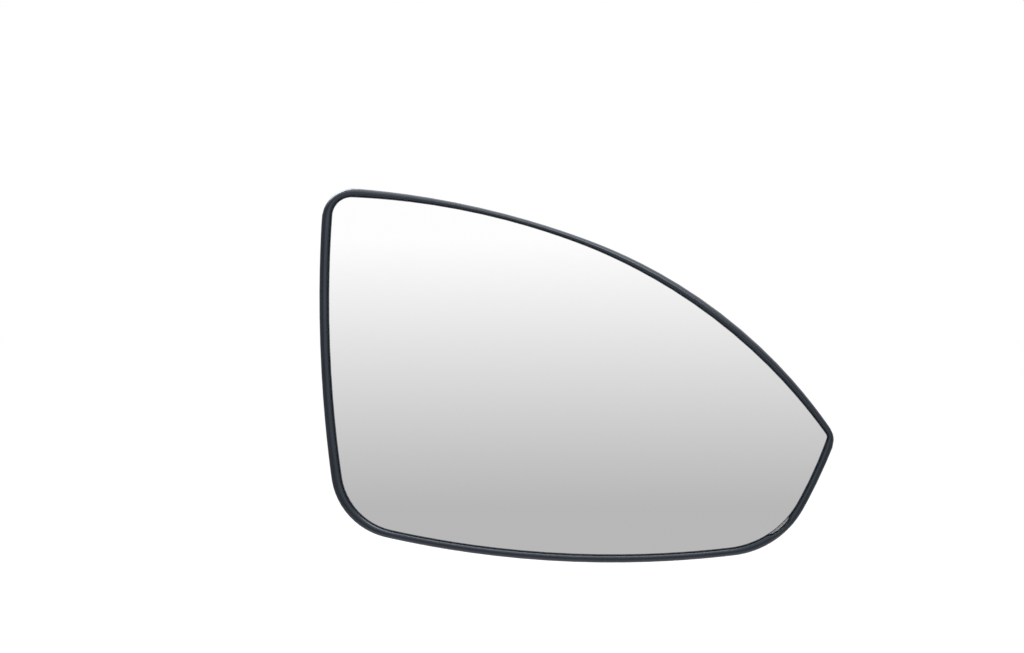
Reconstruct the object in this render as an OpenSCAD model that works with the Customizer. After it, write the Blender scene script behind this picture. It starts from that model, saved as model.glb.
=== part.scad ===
// Door mirror glass for a passenger car: a convex pane, taped into a one piece
// backing plate that snaps on to the mirror's adjuster.
// Millimetres. X runs towards the pointed end, Z is up and the glass faces -Y.
// The origin is the centre of the rear coupling, on its seating face.
// The outline is five corners. Each side between two corners is one arc that
// bulges out from its chord, and each corner is rounded by an arc that is
// tangent to both sides. The opening for the glass has the same five corners,
// moved inwards by the width of the rim.

/* [Rim outline] */
// Upper left corner, across
upper_left_x = -80.3; // [-86:0.1:-74]
// Upper left corner, height
upper_left_z = 75.3; // [70:0.1:80]
// Lower left corner, across
lower_left_x = -74.9; // [-80:0.1:-70]
// Lower left corner, height
lower_left_z = -47.5; // [-52:0.1:-42]
// Lower right corner, across
lower_right_x = 84.4; // [80:0.1:88]
// Lower right corner, height
lower_right_z = -56.1; // [-60:0.1:-52]
// Pointed end, across
tip_x = 105.5; // [100:0.1:112]
// Pointed end, height
tip_z = -15.6; // [-20:0.1:-10]
// Brow corner in the top edge, across
brow_x = 16.3; // [5:0.1:25]
// Brow corner in the top edge, height
brow_z = 55.5; // [53:0.1:59]

/* [Bulge of each side] */
// Left side, outwards from its chord
left_bulge = 3.8; // [1:0.1:6]
// Bottom edge, outwards from its chord
bottom_bulge = 8.5; // [4:0.1:12]
// Right side below the tip, outwards from its chord
right_bulge = 1.4; // [0.8:0.1:3]
// Slope from the tip up to the brow, outwards from its chord
slope_bulge = 9; // [7:0.1:11]
// Top edge, outwards from its chord
top_bulge = 3.9; // [3:0.1:5]

/* [Corner radii] */
// Outer radius at the upper left corner
upper_left_r = 11.5; // [8:0.5:20]
// Outer radius at the lower left corner
lower_left_r = 25.5; // [15:0.5:32]
// Outer radius at the lower right corner
lower_right_r = 33; // [24:0.5:40]
// Outer radius at the pointed end
tip_r = 8; // [5:0.5:12]
// Radius at the brow, of the rim and of its opening
brow_r = 140; // [80:5:160]

/* [Rim width seen from the front] */
// Left side, at the top
left_rim_top = 3; // [2:0.1:4.5]
// Left side, at half height
left_rim_mid = 3.1; // [2.5:0.1:4.5]
// Left side, at the bottom
left_rim_low = 3.4; // [2.5:0.1:4.5]
// Bottom edge, at the left
bottom_rim_left = 2; // [1.5:0.1:4]
// Bottom edge, in the middle
bottom_rim_mid = 2.6; // [2.2:0.1:4]
// Bottom edge, at the right
bottom_rim_right = 2.2; // [1.8:0.1:4]
// Right side, at the bottom
right_rim_low = 2.9; // [2.4:0.1:4]
// Right side, in the middle
right_rim_mid = 2.6; // [2.2:0.1:4]
// Right side, at the tip
right_rim_tip = 2.8; // [2.2:0.1:4]
// Slope, at the tip
slope_rim_tip = 1.3; // [1.1:0.1:3]
// Slope, in the middle
slope_rim_mid = 2.6; // [2:0.1:3.2]
// Brow corner, both ways
brow_rim = 1.8; // [1.3:0.1:2.6]
// Top edge, in the middle
top_rim_mid = 1.8; // [1.4:0.1:2.6]
// Top edge, at the left
top_rim_left = 2.5; // [1.8:0.1:3]

/* [Opening corner radii] */
// Radius of the opening at the upper left
opening_upper_left_r = 7.5; // [5:0.5:14]
// Radius of the opening at the lower left
opening_lower_left_r = 23.5; // [14:0.5:28]
// Radius of the opening at the lower right
opening_lower_right_r = 33; // [22:0.5:36]
// Radius of the opening at the tip
opening_tip_r = 2.5; // [1.5:0.1:4]

/* [Relief in the rim's lip] */
// Direction of the relief from the coupling's axis
relief_angle = -29.3; // [-32:0.1:-27]
// Length of the relief along the lip
relief_length = 11; // [8:0.5:14]
// How far the lip steps back from the glass
relief_depth = 1; // [0.5:0.1:1.4]

/* [Glass] */
// Radius of the convex front
glass_radius = 1260; // [900:10:2000]
// Thickness of the pane
glass_t = 2; // [1.6:0.1:3]
// Gap between the pane's edge and the rim
glass_gap = 0.2; // [0.1:0.05:0.4]
// Ground edge, each way
glass_bevel = 0.35; // [0.2:0.05:0.6]

/* [Adhesive pad] */
// Thickness of the foam pad
pad_t = 0.8; // [0.5:0.1:1.5]
// Gap between the pad and the rim
pad_gap = 0.3; // [0.3:0.1:2]

/* [Backing plate] */
// Thickness of the plate behind the pad
plate_t = 2.2; // [1.8:0.1:3]
// Height of the rim's bead over the glass
bead_h = 0.8; // [0.4:0.1:1.5]
// How far the bead's inner foot lies below the glass front
bead_foot = 0.3; // [0.1:0.1:0.6]
// How far the bead's outer foot lies below the glass front
bead_skirt = 1.4; // [0.8:0.1:2]
// Depth of the rim, from the glass front to its rear edge
rim_depth = 9; // [7:0.5:12]
// Thickness of the rim's wall
rim_wall = 1.6; // [1.2:0.1:2]
// How far the wall leans in towards the rear
rim_draft = 0.4; // [0.2:0.1:0.8]
// Chamfer on the rim's rear edge
rim_chamfer = 0.3; // [0.1:0.05:0.5]
// Thickness of the ribs
rib_t = 1.2; // [0.8:0.1:2]
// How far the ribs stay below the rim's rear edge
rib_below = 1.2; // [0.5:0.1:2]
// Number of ribs that run out to the rim
rib_count = 16; // [8:4:24]
// Radius of the round rib between the coupling and the rim
ring_rib_r = 58; // [54:1:62]
// Number of flat pads for the mould's ejector pins
ejector_count = 8; // [4:4:16]
// Distance of the ejector pads from the axis
ejector_at = 50; // [48:0.5:51]
// Radius of an ejector pad
ejector_r = 3; // [2:0.5:4]
// Height of an ejector pad over the plate
ejector_h = 0.4; // [0.2:0.1:0.8]

/* [Coupling] */
// Height of the seating land over the plate, on the axis
land_h = 3; // [2:0.5:5]
// Inner radius of the seating land
land_in_r = 29; // [26:0.5:30]
// Outer radius of the seating land
land_out_r = 32.5; // [31:0.5:33.5]
// Radius of the pilot bore
pilot_r = 20; // [15:0.5:23]
// Wall of the pilot ring
pilot_wall = 1.8; // [1.2:0.1:2.5]
// Height of the pilot ring over the seating land
pilot_h = 3.5; // [2:0.5:4]
// Width of the two keyways in the pilot ring
keyway_w = 4; // [2:0.5:6]
// Number of webs between the pilot ring and the land
web_count = 8; // [4:1:12]
// Number of snap fingers
finger_count = 8; // [6:1:10]
// Angle that one finger takes
finger_angle = 22; // [16:1:26]
// Radius of the fingers' inner face
finger_r = 36.3; // [36:0.1:38]
// Thickness of a finger
finger_t = 1.6; // [1.2:0.1:2]
// Height of the hooks' underside over the land
hook_y = 4.6; // [4.6:0.1:6]
// How far a hook reaches inwards
hook_reach = 0.9; // [0.5:0.1:1.3]
// Length of the hook's straight lip
hook_lip = 1.2; // [0.8:0.1:2]
// Length of the hook's sloping lead in
hook_lead = 1.8; // [1:0.1:3]
// Inner radius of the guard ring outside the fingers
guard_r = 41; // [40.5:0.5:44]
// Wall of the guard ring
guard_wall = 1.6; // [1.2:0.1:2.5]
// Height of the guard ring over the land
guard_h = 3; // [2:0.5:5]
// Length of the gussets between the guard ring and the ribs
gusset_l = 5; // [3:0.5:8]
// Thickness of the gussets
gusset_t = 0.9; // [0.6:0.1:1.1]

/* [Hidden] */

// Largest turn and longest step between two points of an outline
turn_step = 6;
length_step = 6;
// The same turn at the corner that has the relief
relief_step = 2;
// How closely the points of a side crowd towards its two corners
crowding = 0.6;
// The outline's arc that has the relief, counted from the upper left corner
relief_arc = 4;
// Steps round the bead's section
bead_steps = 12;
// Facets of the large spheres and of round details
dome_fn = 256;
round_fn = 96;
// How far a piece that is fused to another reaches into it
bite = 0.5;
// Long enough to pass through the whole part
through = 40;
// Smallest radius that a moved corner keeps
smallest_r = 0.2;
// Part of a degree by which an arc may be overrun
slack = 0.01;

// Depth behind the glass front of each layer
pad_d = glass_t;
plate_d = glass_t + pad_t;
back_d = plate_d + plate_t;
rib_d = rim_depth - rib_below;
// The glass front and the dome's centre on the axis
apex_y = -(land_h + back_d);
dome_y0 = apex_y + glass_radius;
// The plane inside the plate from which the coupling grows
root_y = -(land_h + plate_t/2);
// Width that the rim's rear wall takes off the outline
wall_inset = rim_draft + rim_wall;

corners = [
    [upper_left_x, upper_left_z],
    [lower_left_x, lower_left_z],
    [lower_right_x, lower_right_z],
    [tip_x, tip_z],
    [brow_x, brow_z]
];
bulges = [left_bulge, bottom_bulge, right_bulge, slope_bulge, top_bulge];
radii = [upper_left_r, lower_left_r, lower_right_r, tip_r, brow_r];
rim_start = [left_rim_top, bottom_rim_left, right_rim_low, slope_rim_tip, brow_rim];
rim_mid = [left_rim_mid, bottom_rim_mid, right_rim_mid, slope_rim_mid, top_rim_mid];
rim_end = [left_rim_low, bottom_rim_right, right_rim_tip, brow_rim, top_rim_left];

function unit(v) = v/norm(v);
function left_of(v) = [-v[1], v[0]];
function heading(v) = atan2(v[1], v[0]);
function at(angle) = [cos(angle), sin(angle)];
function turn(from, to) = let(a = (to - from) % 360) a > 180 ? a - 360 : a < -180 ? a + 360 : a;
function next(i) = (i + 1) % len(corners);
function last(i) = (i + len(corners) - 1) % len(corners);
function inward(i) = left_of(unit(corners[next(i)] - corners[i]));

// The point at distance a along n and at distance b along m, where n and m are normals
function crossing(n, a, m, b) = let(det = n[0]*m[1] - n[1]*m[0]) [
    (a*m[1] - b*n[1])/det,
    (b*n[0] - a*m[0])/det
];

// The opening's corners and bulges follow the outline and the rim's widths
opening_corners = [for (i = [0:len(corners) - 1])
    let(n = inward(last(i)), m = inward(i))
    crossing(n, n*corners[i] + rim_end[last(i)], m, m*corners[i] + rim_start[i])
];
opening_bulges = [for (i = [0:len(corners) - 1])
    bulges[i] - rim_mid[i] + (rim_start[i] + rim_end[i])/2
];
opening_radii = [
    opening_upper_left_r,
    opening_lower_left_r,
    opening_lower_right_r,
    opening_tip_r,
    brow_r
];

// The circle of a side: its centre and radius, with the side moved in by an inset
function side_circle(from, to, bulge, inset) =
    let(chord = to - from, r = (chord*chord/4 + bulge*bulge)/(2*bulge))
    [(from + to)/2 + left_of(unit(chord))*(r - bulge), r - inset];

// The centre of a corner's arc, tangent to two sides from inside
function corner_centre(s, t, r, corner) =
    let(
        d = norm(t[0] - s[0]),
        e = (t[0] - s[0])/d,
        x = (d*d + pow(s[1] - r, 2) - pow(t[1] - r, 2))/(2*d),
        h = sqrt(max(0, pow(s[1] - r, 2) - x*x)),
        a = s[0] + e*x + left_of(e)*h,
        b = s[0] + e*x - left_of(e)*h
    )
    norm(a - corner) < norm(b - corner) ? a : b;

// An outline as arcs, each [centre, radius, start angle, sweep]
function loop_arcs(points, bulge, radius, inset) =
    let(
        n = len(points),
        sides = [for (i = [0:n - 1]) side_circle(points[i], points[(i + 1) % n], bulge[i], inset)],
        r = [for (i = [0:n - 1]) max(radius[i] - inset, smallest_r)],
        c = [for (i = [0:n - 1]) corner_centre(sides[(i + n - 1) % n], sides[i], r[i], points[i])],
        from = [for (i = [0:n - 1]) heading(c[i] - sides[(i + n - 1) % n][0])],
        to = [for (i = [0:n - 1]) heading(c[i] - sides[i][0])]
    )
    [for (i = [0:n - 1]) each [
        [c[i], r[i], from[i], turn(from[i], to[i])],
        [sides[i][0], sides[i][1], to[i], turn(to[i], from[(i + 1) % n])]
    ]];

function rim_arcs(inset) = loop_arcs(corners, bulges, radii, inset);
function opening_arcs(inset) = loop_arcs(opening_corners, opening_bulges, opening_radii, inset);

// Every loop round the part has the same number of stations
opening_loop = opening_arcs(0);
steps = [for (i = [0:len(opening_loop) - 1])
    let(a = opening_loop[i], step = i == relief_arc ? relief_step : turn_step)
    ceil(max(abs(a[3])/step, a[1]*abs(a[3])*PI/180/length_step, 1))
];
function crowded(t) = t - crowding*sin(360*t)/(2*PI);
function stations(arcs) = [for (i = [0:len(arcs) - 1])
    for (k = [0:steps[i] - 1])
        let(
            t = k/steps[i],
            is_side = i % 2 == 1,
            a = arcs[i],
            angle = a[2] + a[3]*(is_side ? crowded(t) : t)
        )
        [a[0] + at(angle)*a[1], at(angle)]
];

// Where a ray from the origin leaves the rim's outline: the point and its normal
function leave(arcs, u) = [for (a = arcs)
    let(
        b = u*a[0],
        under = b*b - a[0]*a[0] + a[1]*a[1],
        p = u*(b + sqrt(max(under, 0))),
        off = turn(a[2], heading(p - a[0]))
    )
    if (under > 0 && off > -slack && off < a[3] + slack) [p, unit(p - a[0])]
][0];

// The relief fades out towards both of its ends
relief_at = leave(opening_loop, at(relief_angle))[0];
function relief(p) = relief_depth*max(0, 1 - pow(2*norm(p - relief_at)/relief_length, 4));
function relieved(stations) = [for (s = stations) [s[0] + s[1]*relief(s[0]), s[1]]];

opening = relieved(stations(opening_loop));
outline_arcs = rim_arcs(0);
outline = [for (s = opening) leave(outline_arcs, unit(s[0]))];

function points(stations) = [for (s = stations) s[0]];
function rim_points(inset) = [for (s = outline) s[0] - s[1]*inset];

function glass_points(inset) = points(stations(opening_arcs(glass_gap + inset)));

// A point at a depth behind the domed glass front
function on_dome(p, depth) = [p[0], dome_y0 - sqrt(pow(glass_radius - depth, 2) - p*p), p[1]];

// A closed ring through a list of sections, each a list of 3D points
module ring(sections) {
    n = len(sections);
    m = len(sections[0]);
    polyhedron(
        points = [for (s = sections) each s],
        faces = [for (i = [0:n - 1])
            for (j = [0:m - 1])
                let(a = i*m + j, b = i*m + (j + 1) % m, c = ((i + 1) % n)*m + (j + 1) % m, d = ((i + 1) % n)*m + j)
                each [[a, d, c], [a, c, b]]
        ],
        convexity = 6
    );
}

// A straight block of an outline, all the way through
module block(outline_points) {
    translate([0, through/2, 0])
        rotate([90, 0, 0])
            linear_extrude(through)
                polygon(outline_points);
}

module dome(depth) {
    translate([0, dome_y0, 0])
        sphere(r = glass_radius - depth, $fn = dome_fn);
}

// A layer that follows the dome, between two depths
module layer(from_depth, to_depth) {
    difference() {
        intersection() {
            children();
            dome(from_depth);
        }
        dome(to_depth);
    }
}

// A body turned about the coupling's axis, drawn as [radius, height over the land]
module turned(angle = 360, start = 0) {
    rotate([-90, 0, 0])
        rotate([0, 0, start])
            rotate_extrude(angle = angle, $fn = round_fn)
                children();
}

module tube(r_in, r_out, y_from, y_to) {
    turned()
        translate([r_in, y_from])
            square([r_out - r_in, y_to - y_from]);
}

// The rim: a rounded bead in front, a wall that leans in behind it, and a foot in the plate
module rim() {
    crest = bead_h + (bead_foot + bead_skirt)/2;
    ring([for (i = [0:len(opening) - 1])
        let(
            p = opening[i][0],
            q = outline[i][0],
            inner = p - opening[i][1]*2*bite,
            rear = q - outline[i][1]*rim_draft,
            rear_in = q - outline[i][1]*wall_inset,
            edge = outline[i][1]*rim_chamfer
        )
        concat(
            [on_dome(p, plate_d + bite)],
            [for (k = [0:bead_steps])
                let(a = 180*k/bead_steps, t = (1 - cos(a))/2)
                on_dome(p + (q - p)*t, bead_foot + (bead_skirt - bead_foot)*t - crest*sin(a))
            ],
            [
                on_dome(rear, rim_depth - rim_chamfer),
                on_dome(rear - edge, rim_depth),
                on_dome(rear_in + edge, rim_depth),
                on_dome(rear_in, rim_depth - rim_chamfer),
                on_dome(rear_in, back_d - bite),
                on_dome(inner, back_d - bite),
                on_dome(inner, plate_d + bite)
            ]
        )
    ]);
}

module rib_pattern() {
    intersection() {
        union() {
            for (k = [0:rib_count - 1])
                rotate((k + 0.5)*360/rib_count)
                    translate([guard_r + guard_wall/2, -rib_t/2])
                        square([2*tip_x, rib_t]);
            difference() {
                circle(ring_rib_r + rib_t/2, $fn = round_fn);
                circle(ring_rib_r - rib_t/2, $fn = round_fn);
            }
        }
        polygon(rim_points(rim_draft + rim_wall/2));
    }
}

module ribs() {
    layer(back_d - bite, rib_d)
        translate([0, through/2, 0])
            rotate([90, 0, 0])
                linear_extrude(through)
                    rib_pattern();
}

module ejector_pads() {
    layer(back_d - bite, back_d + ejector_h)
        for (k = [0:ejector_count - 1])
            rotate([0, k*360/ejector_count, 0])
                translate([ejector_at, through/2, 0])
                    rotate([90, 0, 0])
                        cylinder(r = ejector_r, h = through, $fn = round_fn);
}

// A gusset in the corner between the guard ring and a rib, drawn as [radius, height over the land]
module gusset() {
    translate([0, 0, -gusset_t/2])
        linear_extrude(gusset_t)
            polygon([
                [guard_r + guard_wall/2, -bite],
                [guard_r + guard_wall + gusset_l, -bite],
                [guard_r + guard_wall + gusset_l, bite],
                [guard_r + guard_wall, guard_h - bite],
                [guard_r + guard_wall/2, guard_h - bite]
            ]);
}

// A snap finger with its hook, drawn as [radius, height over the land]
module finger(start) {
    turned(finger_angle, start)
        polygon([
            [finger_r, root_y],
            [finger_r + finger_t, root_y],
            [finger_r + finger_t, hook_y + hook_lip + hook_lead],
            [finger_r + finger_t/2, hook_y + hook_lip + hook_lead],
            [finger_r - hook_reach, hook_y + hook_lip],
            [finger_r - hook_reach, hook_y],
            [finger_r, hook_y]
        ]);
}

// The slot under a hook, through which the mould forms the hook's underside
module hook_slot(start) {
    turned(finger_angle, start)
        translate([finger_r - 2*hook_reach, -through/2])
            square([2*hook_reach, through]);
}

module coupling() {
    tube(land_in_r, land_out_r, root_y, 0);
    tube(guard_r, guard_r + guard_wall, root_y, guard_h);
    difference() {
        tube(pilot_r, pilot_r + pilot_wall, root_y, pilot_h);
        translate([0, through/2, 0])
            cube([keyway_w, through, 4*pilot_r], center = true);
    }
    for (k = [0:web_count - 1])
        rotate([0, (k + 0.5)*360/web_count, 0])
            translate([pilot_r + pilot_wall/2, root_y, -rib_t/2])
                cube([land_in_r - pilot_r, -root_y - bite, rib_t]);
    for (k = [0:finger_count - 1])
        finger(k*360/finger_count - finger_angle/2);
    for (k = [0:rib_count - 1])
        rotate([0, (k + 0.5)*360/rib_count, 0])
            gusset();
}

module backing_plate() {
    color("#23262b")
        union() {
            difference() {
                layer(plate_d, back_d)
                    block(rim_points(rim_draft + rim_wall/2));
                for (k = [0:finger_count - 1])
                    hook_slot(k*360/finger_count - finger_angle/2);
            }
            rim();
            ribs();
            ejector_pads();
            coupling();
        }
}

module adhesive_pad() {
    color("#9a9ba0")
        layer(pad_d, plate_d)
            block(points(relieved(stations(opening_arcs(pad_gap)))));
}

// The ground edge round the pane's front
module edge_cut() {
    out = glass_points(-glass_bevel/2);
    mid = glass_points(1.5*glass_bevel);
    ring([for (i = [0:len(out) - 1]) [
        on_dome(mid[i], -glass_bevel/2),
        on_dome(out[i], -glass_bevel/2),
        on_dome(out[i], 1.5*glass_bevel)
    ]]);
}

module mirror_glass() {
    color("#c9ccd0")
        difference() {
            layer(0, pad_d)
                block(glass_points(0));
            edge_cut();
        }
}

mirror_glass();
adhesive_pad();
backing_plate();
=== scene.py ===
# %% [markdown]
# # A car door mirror glass
# The part is a convex pane in a black moulded tray. The pane is held by foam tape, and the tray
# snaps on to the mirror's adjuster. The solid model gives every piece its size and place, so this
# notebook only dresses it: it smooths the surfaces, gives them their finishes, and lights them.

# %% Load the solid model
import math
import bpy
import bmesh
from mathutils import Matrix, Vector


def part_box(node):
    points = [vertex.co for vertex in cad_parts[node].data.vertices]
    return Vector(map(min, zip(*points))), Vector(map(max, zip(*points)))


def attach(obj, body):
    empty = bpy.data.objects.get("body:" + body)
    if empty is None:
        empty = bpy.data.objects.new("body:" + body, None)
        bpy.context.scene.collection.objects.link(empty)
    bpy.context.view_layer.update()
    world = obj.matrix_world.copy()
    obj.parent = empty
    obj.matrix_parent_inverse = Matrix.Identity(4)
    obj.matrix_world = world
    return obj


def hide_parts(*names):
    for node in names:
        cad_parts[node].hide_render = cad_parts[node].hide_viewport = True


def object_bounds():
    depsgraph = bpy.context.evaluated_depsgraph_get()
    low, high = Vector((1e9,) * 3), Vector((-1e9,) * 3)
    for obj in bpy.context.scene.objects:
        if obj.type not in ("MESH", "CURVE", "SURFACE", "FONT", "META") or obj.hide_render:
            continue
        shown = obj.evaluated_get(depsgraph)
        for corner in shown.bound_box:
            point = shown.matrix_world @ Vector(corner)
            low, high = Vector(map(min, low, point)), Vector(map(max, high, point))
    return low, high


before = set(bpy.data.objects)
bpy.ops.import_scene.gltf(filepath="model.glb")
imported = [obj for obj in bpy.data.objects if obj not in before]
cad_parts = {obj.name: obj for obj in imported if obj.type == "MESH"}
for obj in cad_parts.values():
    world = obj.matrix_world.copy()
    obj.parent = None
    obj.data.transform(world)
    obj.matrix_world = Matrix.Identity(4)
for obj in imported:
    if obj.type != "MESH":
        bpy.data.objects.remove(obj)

MM = 0.001
solid_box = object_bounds()
print("nodes:", sorted(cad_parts))
print("solid model's box, m:", solid_box)

# %% [markdown]
# ## The camera
# The photograph looks straight at the glass, and the object lies right of the middle of the frame.
# A camera could be turned towards the object, but that would give the outline a slant. Here it looks
# along +Y, as the photographer's did, and stands to one side. The scale comes from the real length
# of the part and its length in the picture. The distance isn't known, so a usual one is taken.

# %% Camera
PICTURE_WIDTH = 1024
MM_PER_PIXEL = 0.3617
PICTURE_MIDDLE = (511.5, 326.0)
AXIS_IN_PICTURE = (545.0, 394.0)
RIM_PLANE_Y = -5 * MM
CAMERA_DISTANCE = 1.2
SENSOR_WIDTH = 36.0
SEES_UP_TO = 100

across = (PICTURE_MIDDLE[0] - AXIS_IN_PICTURE[0]) * MM_PER_PIXEL * MM
up = (AXIS_IN_PICTURE[1] - PICTURE_MIDDLE[1]) * MM_PER_PIXEL * MM
seen_width = PICTURE_WIDTH * MM_PER_PIXEL * MM

camera_data = bpy.data.cameras.new("studio_camera")
camera_data.sensor_width = SENSOR_WIDTH
camera_data.sensor_fit = "HORIZONTAL"
camera_data.lens = SENSOR_WIDTH * CAMERA_DISTANCE / seen_width
camera_data.clip_end = SEES_UP_TO
camera = bpy.data.objects.new("studio_camera", camera_data)
camera.location = (across, RIM_PLANE_Y - CAMERA_DISTANCE, up)
camera.rotation_euler = (math.radians(90), 0, 0)
bpy.context.collection.objects.link(camera)
bpy.context.scene.camera = camera
print("lens, mm:", round(camera_data.lens, 1))

# %% [markdown]
# ## Short words for nodes
# Materials and light are built from nodes. They could be placed and linked by hand in the node
# editor, but a script keeps every value in sight. Most of these nodes only map one range to another
# or combine two values, so each of those gets a helper that says it in one line.

# %% Helpers for nodes


def node_at(tree, kind, **settings):
    """Add a node and set its properties."""
    made = tree.nodes.new(kind)
    for name, value in settings.items():
        setattr(made, name, value)
    return made


def feed(tree, socket, value):
    """Set a socket, or link it where the value is another node's output."""
    if isinstance(value, bpy.types.NodeSocket):
        tree.links.new(value, socket)
    else:
        socket.default_value = value


def mapped(tree, value, start, end, low, high, kind="LINEAR"):
    """Map a value that runs from start to end to the range from low to high."""
    made = node_at(tree, "ShaderNodeMapRange", interpolation_type=kind)
    made.inputs["From Min"].default_value = start
    made.inputs["From Max"].default_value = end
    made.inputs["To Min"].default_value = low
    made.inputs["To Max"].default_value = high
    tree.links.new(value, made.inputs["Value"])
    return made.outputs["Result"]


def combined(tree, operation, first, second):
    """A Math node on two values."""
    made = node_at(tree, "ShaderNodeMath", operation=operation)
    feed(tree, made.inputs[0], first)
    feed(tree, made.inputs[1], second)
    return made.outputs[0]


print("helpers made: node_at, feed, mapped and combined")

# %% [markdown]
# ## The studio ahead of the glass
# A mirror shows the room that it faces. In the photograph that room is white above and grey below,
# with a soft change between them. A painted card could stand in front of the glass, but it would
# also shade the part. Here the world itself is the room: a wide, low patch with soft edges ahead of
# the glass, whose tone follows the height of the direction.

# %% Patch ahead of the glass
GREY_BELOW = 0.485
WHITE = 1.0
GREY_UP_TO_Z = -0.12
WHITE_FROM_Z = 0.113
GRADIENT_EASE = 1.15
PATCH_FLATTEN = 2.0
PATCH_EDGE_Y = -0.50
PATCH_FULL_Y = -0.80


def shade_ahead(tree, direction):
    """Grey below and white above."""
    split = node_at(tree, "ShaderNodeSeparateXYZ")
    tree.links.new(direction, split.inputs[0])
    height = mapped(tree, split.outputs["Z"], GREY_UP_TO_Z, WHITE_FROM_Z, 0, 1)
    eased = combined(tree, "POWER", height, GRADIENT_EASE)
    return mapped(tree, eased, 0, 1, GREY_BELOW, WHITE)


def patch_ahead(tree, direction):
    """1 in a wide, low patch ahead of the glass and 0 elsewhere, with a soft edge."""
    taller = node_at(tree, "ShaderNodeVectorMath", operation="MULTIPLY")
    taller.inputs[1].default_value = (1, 1, PATCH_FLATTEN)
    tree.links.new(direction, taller.inputs[0])
    flattened = node_at(tree, "ShaderNodeVectorMath", operation="NORMALIZE")
    tree.links.new(taller.outputs["Vector"], flattened.inputs[0])
    split = node_at(tree, "ShaderNodeSeparateXYZ")
    tree.links.new(flattened.outputs["Vector"], split.inputs[0])
    return mapped(tree, split.outputs["Y"], PATCH_EDGE_Y, PATCH_FULL_Y, 0, 1, "SMOOTHSTEP")


print("tones ahead of the glass:", GREY_BELOW, "to", WHITE)

# %% [markdown]
# ## The studio all round
# The round rim shows the whole room as thin lines of light. Four real cards could make them, but a
# world with soft glows needs no objects that cast shadows. The room is dim at eye level, with a
# strong glow overhead and a weak one underfoot, both a little behind the part.

# %% Glows all round
EYE_LEVEL = 0.27
OVERHEAD = ((0.0, 0.3, 0.95), 1.4)
UNDERFOOT = ((0.0, 0.3, -0.95), 0.6)
GLOW_EDGE = 0.4
GLOW_MIDDLE = 0.9


def glow(tree, direction, towards, level):
    """Light that is strongest towards one side and fades to the level at the eye."""
    facing = node_at(tree, "ShaderNodeVectorMath", operation="DOT_PRODUCT")
    facing.inputs[1].default_value = towards
    tree.links.new(direction, facing.inputs[0])
    near = facing.outputs["Value"]
    return mapped(tree, near, GLOW_EDGE, GLOW_MIDDLE, EYE_LEVEL, level, "SMOOTHSTEP")


def light_around(tree, direction):
    above = glow(tree, direction, *OVERHEAD)
    below = glow(tree, direction, *UNDERFOOT)
    return combined(tree, "MAXIMUM", above, below)


print("levels overhead, at the eye and underfoot:", OVERHEAD[1], EYE_LEVEL, UNDERFOOT[1])

# %% [markdown]
# ## Who sees the studio
# Only glossy and transmission rays should see this room, because as a backdrop it would be grey and
# as a light it would be uneven. The Light Path node tells the rays apart, and Mix nodes pick what
# each kind sees: the camera sees plain white, and diffuse light is even.

# %% World
EVEN_LIGHT = 0.85


def mixed(tree, factor, first, second, kind="FLOAT"):
    """The first value where the factor is 0 and the second where it is 1."""
    made = node_at(tree, "ShaderNodeMix", data_type=kind)
    feed(tree, made.inputs["Factor"], factor)
    feed(tree, made.inputs["A"], first)
    feed(tree, made.inputs["B"], second)
    return made.outputs["Result"]


def make_world():
    world = bpy.data.worlds.new("studio")
    world.use_nodes = True
    tree = world.node_tree
    tree.nodes.clear()
    direction = node_at(tree, "ShaderNodeTexCoord").outputs["Generated"]
    patch = patch_ahead(tree, direction)
    room = mixed(tree, patch, light_around(tree, direction), shade_ahead(tree, direction))

    path = node_at(tree, "ShaderNodeLightPath").outputs
    shiny = combined(tree, "MAXIMUM", path["Is Glossy Ray"], path["Is Transmission Ray"])
    light = mixed(tree, shiny, EVEN_LIGHT, room)
    background = node_at(tree, "ShaderNodeBackground")
    background.inputs["Color"].default_value = (1, 1, 1, 1)
    feed(tree, background.inputs["Strength"], mixed(tree, path["Is Camera Ray"], light, WHITE))
    output = node_at(tree, "ShaderNodeOutputWorld")
    tree.links.new(background.outputs[0], output.inputs["Surface"])
    return world


bpy.context.scene.world = make_world()
bpy.context.scene.view_settings.view_transform = "Standard"
print("world nodes:", len(bpy.context.scene.world.node_tree.nodes))

# %% [markdown]
# ## Lamps
# Two large soft lamps stand above the part. The one in front puts a soft line of light along the
# round rim, as in the photograph, and the one behind shows the ribs. Small lamps could light the
# part as well, but they would put hard sparks on the rim.

# %% Lamps
LAMP_SIZE = 0.8
LAMPS = {
    "key_lamp": ((0.5, -0.7, 1.2), 8.0),
    "rear_lamp": ((-0.6, 1.0, 1.1), 12.0),
}


def soft_lamp(name, place, watts):
    """A square lamp that faces the part."""
    data = bpy.data.lights.new(name, "AREA")
    data.shape = "SQUARE"
    data.size = LAMP_SIZE
    data.energy = watts
    lamp = bpy.data.objects.new(name, data)
    lamp.location = place
    lamp.rotation_euler = (-Vector(place)).to_track_quat("-Z", "Y").to_euler()
    bpy.context.collection.objects.link(lamp)


for lamp_name, (lamp_place, lamp_watts) in LAMPS.items():
    soft_lamp(lamp_name, lamp_place, lamp_watts)
    print(lamp_name, "stands", round(Vector(lamp_place).length, 2), "m away")

# %% [markdown]
# ## Paint for the floor
# The lamps light only the floor near the part. Stronger lamps would wash out the part, so further
# away the paint glows a little instead. That makes the floor pale all the way, and because only the
# camera sees the glow, it adds no light to the part.

# %% Floor paint
FLOOR_TONE = (0.8, 0.8, 0.8, 1)
LIT_WELL_TO = 0.6
UNLIT_FROM = 2.4
GLOW_NEAR = 0.03
GLOW_FAR = 0.32


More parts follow.
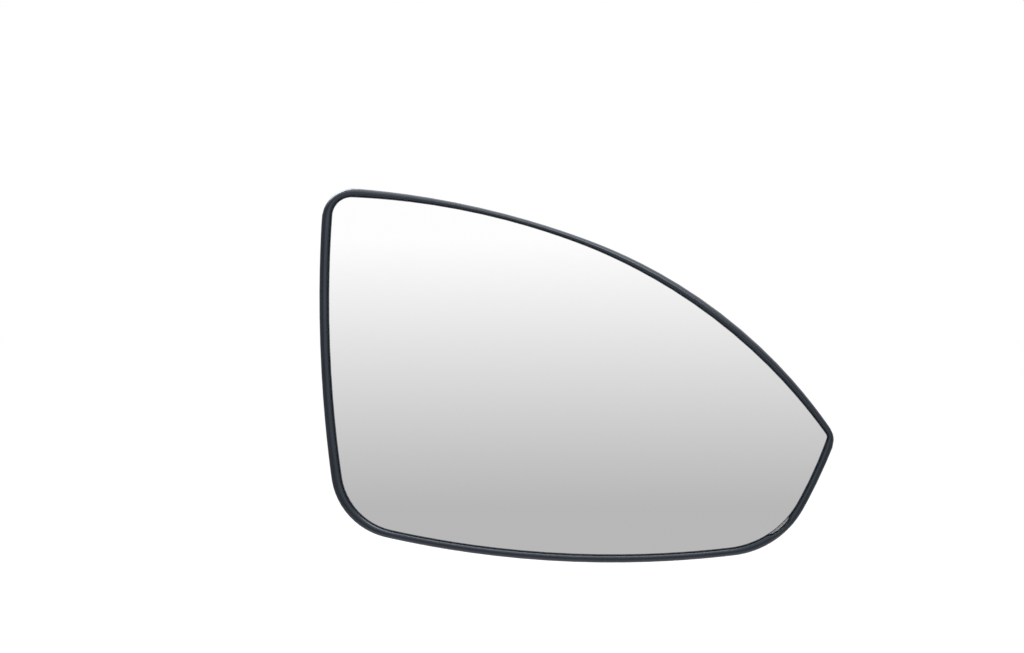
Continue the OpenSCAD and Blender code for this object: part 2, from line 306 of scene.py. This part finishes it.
def pale_paint():
    """Matt paint that glows for the camera where the lamps don't reach."""
    paint = bpy.data.materials.new("pale_floor")
    paint.use_nodes = True
    tree = paint.node_tree
    tree.nodes.clear()
    place = node_at(tree, "ShaderNodeTexCoord").outputs["Object"]
    distance = node_at(tree, "ShaderNodeVectorMath", operation="LENGTH")
    tree.links.new(place, distance.inputs[0])
    away = distance.outputs["Value"]
    lift = mapped(tree, away, LIT_WELL_TO, UNLIT_FROM, GLOW_NEAR, GLOW_FAR, "SMOOTHSTEP")
    seen = node_at(tree, "ShaderNodeLightPath").outputs["Is Camera Ray"]
    glowing = node_at(tree, "ShaderNodeEmission")
    feed(tree, glowing.inputs["Strength"], combined(tree, "MULTIPLY", lift, seen))
    matt = node_at(tree, "ShaderNodeBsdfDiffuse")
    matt.inputs["Color"].default_value = FLOOR_TONE
    both = node_at(tree, "ShaderNodeAddShader")
    tree.links.new(matt.outputs[0], both.inputs[0])
    tree.links.new(glowing.outputs[0], both.inputs[1])
    output = node_at(tree, "ShaderNodeOutputMaterial")
    tree.links.new(both.outputs[0], output.inputs["Surface"])
    return paint


PAINT = pale_paint()
print("made", PAINT.name)

# %% [markdown]
# ## The floor
# The part hangs in the air like a mirror on its adjuster. A floor that touched it would make it look
# as if it stood, so the floor lies a little lower, where the shadow stays under the part.

# %% Floor
FLOOR_DROP = 0.065
FLOOR_SIZE = 60.0


def make_floor(level):
    shape = bmesh.new()
    bmesh.ops.create_grid(shape, x_segments=1, y_segments=1, size=FLOOR_SIZE / 2)
    bmesh.ops.translate(shape, verts=shape.verts, vec=(0, 0, level))
    mesh = bpy.data.meshes.new("floor")
    shape.to_mesh(mesh)
    shape.free()
    mesh.materials.append(PAINT)
    floor = bpy.data.objects.new("floor", mesh)
    floor.visible_glossy = False
    bpy.context.collection.objects.link(floor)


floor_level = solid_box[0][2] - FLOOR_DROP
make_floor(floor_level)
print("floor level, m:", round(floor_level, 4))

# %% [markdown]
# ## Texture for every finish
# No real surface has one tone or one roughness. Noise on Object coordinates gives each finish its
# small changes at their real size, and it stays on the surface from every side. Most of a noise's
# values lie near its middle, so that part is spread over the wanted range.

# %% Helpers for finishes
NOISE_LOW = 0.3
NOISE_HIGH = 0.7


def principled(name):
    made = bpy.data.materials.new(name)
    made.use_nodes = True
    tree = made.node_tree
    return made, tree, tree.nodes["Principled BSDF"]


def noise(tree, size, detail=3.0):
    """Noise with features of about this size in metres."""
    place = node_at(tree, "ShaderNodeTexCoord").outputs["Object"]
    texture = node_at(tree, "ShaderNodeTexNoise")
    texture.inputs["Scale"].default_value = 1 / size
    texture.inputs["Detail"].default_value = detail
    tree.links.new(place, texture.inputs["Vector"])
    return texture.outputs["Fac"]


def uneven(tree, size, low, high):
    """A value that changes between low and high over the surface."""
    return mapped(tree, noise(tree, size), NOISE_LOW, NOISE_HIGH, low, high)


def two_tone(tree, value, tones):
    """A colour that moves between two tones."""
    return mixed(tree, value, (*tones[0], 1), (*tones[1], 1), "RGBA")


def bump(tree, value, height):
    made = node_at(tree, "ShaderNodeBump")
    made.inputs["Distance"].default_value = height
    tree.links.new(value, made.inputs["Height"])
    return made.outputs["Normal"]


print("noise values used:", NOISE_LOW, "to", NOISE_HIGH)

# %% [markdown]
# ## Black moulded plastic
# The tray is black ABS out of a steel mould. The mould was polished for the rim, which has a satin
# shine, and spark-eroded behind it, where the plastic is rougher. The grained rear is also lighter:
# partly because grained black plastic looks greyer, and partly as painted fill light for the dimly
# lit rear. Two materials would meet in a hard line, so one material changes with the depth along Y.
# A flat black would look like a hole in the picture. A slightly blue black with a fine grain in the
# bump and small changes of tone and roughness gives light to the curves.

# %% Plastic
POLISHED_TO_Y = -4 * MM
GRAINED_FROM_Y = -1 * MM
POLISHED_TONES = ((0.008, 0.011, 0.017), (0.012, 0.016, 0.024))
# The grained rear's lighter tones are partly painted fill light for the dimly lit rear.
GRAINED_AND_FILL_TONES = ((0.020, 0.023, 0.028), (0.026, 0.029, 0.034))
POLISHED_ROUGHNESS = 0.22
GRAINED_ROUGHNESS = 0.45
ROUGHNESS_SPREAD = 0.03
CLOUD_SIZE = 9 * MM
SMEAR_SIZE = 4 * MM
GRAIN_SIZE = 0.35 * MM
GRAIN_DETAIL = 2.0
GRAIN_DEPTH = 0.004 * MM
PLASTIC_SHINE = 0.75
PLASTIC_SHINE_TINT = (0.78, 0.87, 1.0, 1)


def grain_and_fill_share(tree):
    """0 on the polished rim and 1 on the grained rear, whose lighter tone is partly painted fill
    light.
    """
    split = node_at(tree, "ShaderNodeSeparateXYZ")
    tree.links.new(node_at(tree, "ShaderNodeTexCoord").outputs["Object"], split.inputs[0])
    return mapped(tree, split.outputs["Y"], POLISHED_TO_Y, GRAINED_FROM_Y, 0, 1)


def black_plastic():
    made, tree, shader = principled("black_plastic")
    grain_and_fill = grain_and_fill_share(tree)
    cloud = uneven(tree, CLOUD_SIZE, 0, 1)
    polished_tone = two_tone(tree, cloud, POLISHED_TONES)
    # The grained rear's lighter tone is partly painted fill light.
    grained_and_fill_tone = two_tone(tree, cloud, GRAINED_AND_FILL_TONES)
    tone = mixed(tree, grain_and_fill, polished_tone, grained_and_fill_tone, "RGBA")
    feed(tree, shader.inputs["Base Color"], tone)
    rough = mixed(tree, grain_and_fill, POLISHED_ROUGHNESS, GRAINED_ROUGHNESS)
    smear = uneven(tree, SMEAR_SIZE, -ROUGHNESS_SPREAD, ROUGHNESS_SPREAD)
    feed(tree, shader.inputs["Roughness"], combined(tree, "ADD", rough, smear))
    grain = noise(tree, GRAIN_SIZE, GRAIN_DETAIL)
    feed(tree, shader.inputs["Normal"], bump(tree, grain, GRAIN_DEPTH))
    shader.inputs["Specular IOR Level"].default_value = PLASTIC_SHINE
    shader.inputs["Specular Tint"].default_value = PLASTIC_SHINE_TINT
    return made


PLASTIC = black_plastic()
print("made", PLASTIC.name)

# %% [markdown]
# ## Mirror coating
# A door mirror's chrome coating lies on the glass and reflects as polished metal does. A glass
# shader over a metal one would cost more and show the same, so the coating is a metal with almost no
# roughness.

# %% Coating
COATING_TONE = (0.985, 0.985, 0.985, 1)
COATING_ROUGHNESS = (0.012, 0.022)
HAZE_SIZE = 12 * MM


def mirror_coating():
    made, tree, shader = principled("mirror_coating")
    shader.inputs["Metallic"].default_value = 1.0
    shader.inputs["Base Color"].default_value = COATING_TONE
    feed(tree, shader.inputs["Roughness"], uneven(tree, HAZE_SIZE, *COATING_ROUGHNESS))
    return made


COATING = mirror_coating()
print("made", COATING.name)

# %% [markdown]
# ## Bare glass at the edge
# The pane's front edge is ground with a belt. No coating is left on that bevel, so it is a frosted
# grey line round the bright mirror, and the cut side behind it is pale. Real refraction would be
# lost in a bevel this narrow, so both are rough, opaque tones with a fine bump.

# %% Bevel and cut side
BEVEL_TONES = ((0.125, 0.14, 0.155), (0.185, 0.20, 0.215))
SIDE_TONES = ((0.78, 0.82, 0.80), (0.86, 0.90, 0.88))
BARE_ROUGHNESS = (0.3, 0.5)
STREAK_SIZE = 0.6 * MM
FROST_SIZE = 0.3 * MM
SCRATCH_SIZE = 0.15 * MM
SCRATCH_DEPTH = 0.01 * MM


def bare_glass(name, tones):
    made, tree, shader = principled(name)
    streak = uneven(tree, STREAK_SIZE, 0, 1)
    feed(tree, shader.inputs["Base Color"], two_tone(tree, streak, tones))
    feed(tree, shader.inputs["Roughness"], uneven(tree, FROST_SIZE, *BARE_ROUGHNESS))
    scratches = bump(tree, noise(tree, SCRATCH_SIZE), SCRATCH_DEPTH)
    feed(tree, shader.inputs["Normal"], scratches)
    return made


BEVEL = bare_glass("ground_bevel", BEVEL_TONES)
SIDE = bare_glass("cut_side", SIDE_TONES)
print("made", BEVEL.name, "and", SIDE.name)

# %% [markdown]
# ## Foam
# The foam tape shows only in the gap at the lower right corner and in the slots at the rear. It has
# small open cells. Modelling them would take thousands of holes that nobody sees, so they are a
# change of tone and a bump.

# %% Foam
FOAM_TONES = ((0.72, 0.72, 0.75), (0.84, 0.84, 0.87))
FOAM_ROUGHNESS = 0.85
CELL_SIZE = 0.4 * MM
CELL_DEPTH = 0.05 * MM


def pad_foam():
    made, tree, shader = principled("pad_foam")
    cells = uneven(tree, CELL_SIZE, 0, 1)
    feed(tree, shader.inputs["Base Color"], two_tone(tree, cells, FOAM_TONES))
    shader.inputs["Roughness"].default_value = FOAM_ROUGHNESS
    feed(tree, shader.inputs["Normal"], bump(tree, cells, CELL_DEPTH))
    return made


FOAM = pad_foam()
print("made", FOAM.name)

# %% [markdown]
# ## A copy to dress
# A solid's mesh comes as loose triangles, and smooth shading needs joined ones. The solid itself has
# to stay as it is, so a copy of its mesh is joined and takes its place.

# %% Helpers for pieces
SAME_PLACE = 0.002 * MM


def merged_copy(node, name):
    """A copy of a node's mesh with its loose triangles joined, as a new object."""
    shape = bmesh.new()
    shape.from_mesh(bpy.data.objects[node].data)
    bmesh.ops.remove_doubles(shape, verts=shape.verts, dist=SAME_PLACE)
    mesh = bpy.data.meshes.new(name)
    shape.to_mesh(mesh)
    shape.free()
    if mesh.has_custom_normals:
        mesh.attributes.remove(mesh.attributes["custom_normal"])
    made = bpy.data.objects.new(name, mesh)
    bpy.context.collection.objects.link(made)
    return made


def give(piece, *finishes):
    """Give a piece these materials and no others."""
    piece.data.materials.clear()
    for finish in finishes:
        piece.data.materials.append(finish)


pane = merged_copy("mirror_glass", "pane")
print("pane vertices once joined:", len(pane.data.vertices))

# %% [markdown]
# ## The pane
# The pane is a slice of a large sphere. Its solid is right, but its mesh has long triangles, and a
# mirror would show each of them as a flat facet. A denser mesh would only make smaller facets.
# Instead, each corner of the front is given the sphere's own normal, which runs from the dome's
# centre, so the reflection is that of a true dome. First each face is sorted by its finish. The
# ground bevel and the cut side are told apart by the way that they face.

# %% Faces of the pane
GLASS_RADIUS = 1260 * MM
GLASS_THICKNESS = 2 * MM
ON_SPHERE = 0.01 * MM
BEVEL_FACES_FRONT = 0.3
COATED, GROUND, CUT = range(3)

dome_centre = Vector((0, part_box("mirror_glass")[0][1] + GLASS_RADIUS, 0))


def outwards(point):
    """The direction from the dome's centre to a point."""
    return (point - dome_centre).normalized()


def all_at_depth(points, depth):
    """True where all the points lie this deep under the dome's front."""
    return all(abs(GLASS_RADIUS - (p - dome_centre).length - depth) < ON_SPHERE for p in points)


def finish_of(mesh, face):
    points = [mesh.vertices[v].co for v in face.vertices]
    if all_at_depth(points, 0) or all_at_depth(points, GLASS_THICKNESS):
        return COATED
    faces_front = face.normal.dot(outwards(face.center)) > BEVEL_FACES_FRONT
    return GROUND if faces_front else CUT


give(pane, COATING, BEVEL, SIDE)
for pane_face in pane.data.polygons:
    pane_face.use_smooth = True
    pane_face.material_index = finish_of(pane.data, pane_face)

face_finishes = [face.material_index for face in pane.data.polygons]
print("dome centre, m:", tuple(round(v, 4) for v in dome_centre))
print("coated, ground and cut faces:", [face_finishes.count(k) for k in (COATED, GROUND, CUT)])

# %% [markdown]
# Then the normals are set corner by corner. The front takes the sphere's own, and the back takes the
# same turned round. The bevel and the side each take an average of their own faces, so that both
# bend smoothly round the outline and stay sharp where they meet.

# %% Normals of the pane


def edge_normals(mesh):
    """The average normal of each finish at each vertex."""
    total = {}
    for face in mesh.polygons:
        for v in face.vertices:
            key = (face.material_index, v)
            total[key] = total.get(key, Vector()) + face.normal * face.area
    return {key: normal.normalized() for key, normal in total.items()}


def dome_normal(face, point):
    """The sphere's normal, on the side that the face looks to."""
    away = outwards(point)
    return away if face.normal.dot(away) > 0 else -away


def corner_normals(mesh):
    average = edge_normals(mesh)
    normals = []
    for face in mesh.polygons:
        for v in face.vertices:
            if face.material_index == COATED:
                normals.append(dome_normal(face, mesh.vertices[v].co))
            else:
                normals.append(average[face.material_index, v])
    return normals


pane_normals = corner_normals(pane.data)
pane.data.normals_split_custom_set(pane_normals)
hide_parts("mirror_glass")
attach(pane, "root")
print("normals set:", len(pane_normals))

# %% [markdown]
# ## The tray
# The backing plate is one moulding. Its rim is round, and the ribs and hooks behind it have flat
# sides. Shading it all flat would show facets on the rim, and shading it all smooth would blur the
# ribs. So it is shaded smooth, and every edge sharper than a set angle stays sharp.

# %% Tray
SHARP_DEGREES = 32

tray = merged_copy("backing_plate", "tray")
give(tray, PLASTIC)
tray.data.shade_smooth()
tray.data.set_sharp_from_angle(angle=math.radians(SHARP_DEGREES))
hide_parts("backing_plate")
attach(tray, "root")
print("tray faces:", len(tray.data.polygons))

# %% [markdown]
# ## The foam tape
# The tape is a plain sheet of even thickness. A new piece could follow its edges, but its solid has
# the right shape already, so it only gets its material.

# %% Tape
tape = bpy.data.objects["adhesive_pad"]
give(tape, FOAM)
print("tape faces:", len(tape.data.polygons))
